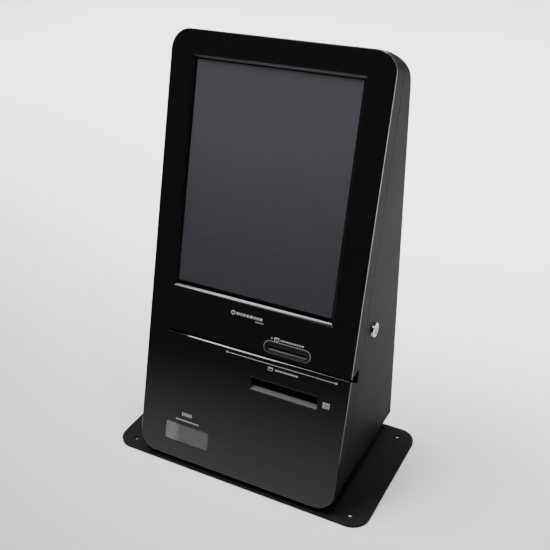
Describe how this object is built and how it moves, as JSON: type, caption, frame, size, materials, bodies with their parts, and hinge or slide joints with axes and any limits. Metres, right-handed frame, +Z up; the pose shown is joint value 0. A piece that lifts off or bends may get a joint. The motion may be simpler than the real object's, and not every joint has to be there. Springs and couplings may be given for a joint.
{
  "type": "ticket vending machine",
  "caption": "Counter-top card payment and ticket machine: sloping touch screen front with card slots, receipt outlet and scanner, on a wide base plate.",
  "frame": {"origin": "centre of the base plate's underside, in the middle of its four bolt holes", "axes": "+X to the right of a person facing the machine, +Y to the back, +Z up"},
  "size_m": [0.395, 0.2164, 0.5764],
  "materials": {
    "gloss_black": "polished, one-piece front sheet",
    "black_trim": "satin black",
    "black_powder_coat": "fine-texture satin black",
    "touch_glass": "clear, faintly grey",
    "lcd_grey": "dark grey, unlit",
    "scanner_window": "grey, translucent",
    "moulded_black": "fine spark texture",
    "grey_plastic": "matte light grey",
    "zinc_steel": "zinc plated",
    "screw_steel": "blackened steel",
    "lock_chrome": "bright plated",
    "gear_plastic": "natural white",
    "rubber": "matte",
    "receipt_paper": "smooth thermal paper, wound",
    "card_core": "wound card tube",
    "circuit_green": "solder mask"
  },
  "bodies": {
    "cabinet": {"base_plate": "black_powder_coat", "cabinet_shell": "black_powder_coat", "cable_grommet": "rubber", "computer_case": "zinc_steel", "computer_lid": "zinc_steel", "cutter_housing": "moulded_black", "fan_frame": "moulded_black", "fan_guard": "black_powder_coat", "floor_pan": "zinc_steel", "floor_screws": "screw_steel", "hinge_leaves_cabinet": "black_powder_coat", "hinge_pins": "screw_steel", "lock_body": "lock_chrome", "lock_nut": "lock_chrome", "main_board": "circuit_green", "panel_screws": "screw_steel", "plinth": "black_powder_coat", "plinth_screws": "screw_steel", "power_inlet": "moulded_black", "power_supply": "zinc_steel", "print_head": "moulded_black", "printer_cover": "grey_plastic", "printer_frame": "zinc_steel", "printer_motor": "moulded_black", "printer_stand": "zinc_steel", "rear_cover": "black_powder_coat", "roll_spindle": "zinc_steel", "switch_body": "moulded_black"},
    "door": {"door_tray": "black_powder_coat", "fascia": "gloss_black", "screen_trim": "black_trim", "touch_glass": "touch_glass", "lcd_panel": "lcd_grey", "lcd_clamps": "zinc_steel", "screen_board": "circuit_green", "swipe_channel": "moulded_black", "swipe_head": "zinc_steel", "card_mouth": "moulded_black", "chip_reader": "moulded_black", "receipt_chute": "moulded_black", "scanner_window": "scanner_window", "scanner_module": "moulded_black", "contactless_antenna": "circuit_green", "keeper": "zinc_steel", "hinge_leaves_door": "black_powder_coat", "door_hinge_screws": "screw_steel"},
    "lock_cylinder": {"lock_plug": "lock_chrome", "lock_cam": "zinc_steel", "cam_nut": "zinc_steel"},
    "platen": {"platen_roller": "rubber", "platen_shaft": "zinc_steel", "platen_gear": "gear_plastic"},
    "pinion": {"motor_pinion": "gear_plastic"},
    "roll": {"paper_roll": "receipt_paper", "paper_core": "card_core"},
    "cutter": {"cutter_blade": "screw_steel"},
    "button": {"feed_button": "grey_plastic"},
    "lever": {"head_lever": "grey_plastic"},
    "fan": {"fan_rotor": "moulded_black"},
    "rocker": {"switch_rocker": "moulded_black"}
  },
  "joints": [
    {"name": "door_swing", "type": "hinge", "parent": "cabinet", "child": "door", "pos_m": [-0.157, -0.0779, 0.00362], "axis": [0, -0.2823, -0.9593], "range_deg": [0, 100]},
    {"name": "lock_turn", "type": "hinge", "parent": "cabinet", "child": "lock_cylinder", "pos_m": [0.153, 0.01992, 0.2271], "axis": [-1, 0, 0], "range_deg": [0, 90]},
    {"name": "platen_spin", "type": "hinge", "parent": "cabinet", "child": "platen", "pos_m": [0.063, 0.00435, 0.15067], "axis": [1, 0, 0], "continuous": true},
    {"name": "pinion_spin", "type": "hinge", "parent": "cabinet", "child": "pinion", "pos_m": [0.1195, 0.02235, 0.15067], "axis": [1, 0, 0], "continuous": true},
    {"name": "roll_spin", "type": "hinge", "parent": "cabinet", "child": "roll", "pos_m": [0.063, 0.02235, 0.0775], "axis": [1, 0, 0], "continuous": true},
    {"name": "cutter_slide", "type": "slide", "parent": "cabinet", "child": "cutter", "axis": [0, 0, -1], "range_m": [0, 0.01]},
    {"name": "button_press", "type": "slide", "parent": "cabinet", "child": "button", "axis": [0, 0, -1], "range_m": [0, 0.001], "stiffness_N_per_m": 400, "springref_m": -0.0005},
    {"name": "lever_turn", "type": "hinge", "parent": "cabinet", "child": "lever", "pos_m": [0.008, 0.02835, 0.15267], "axis": [-1, 0, 0], "range_deg": [0, 40]},
    {"name": "fan_spin", "type": "hinge", "parent": "cabinet", "child": "fan", "pos_m": [-0.07, 0.0968, 0.14], "axis": [0, 1, 0], "continuous": true},
    {"name": "rocker_tilt", "type": "hinge", "parent": "cabinet", "child": "rocker", "pos_m": [-0.066, 0.105, 0.066], "axis": [0, 0, -1], "range_deg": [0, 20]}
  ],
  "couplings": [
    {"joint": "pinion_spin", "follows": "platen_spin", "ratio": -2}
  ]
}
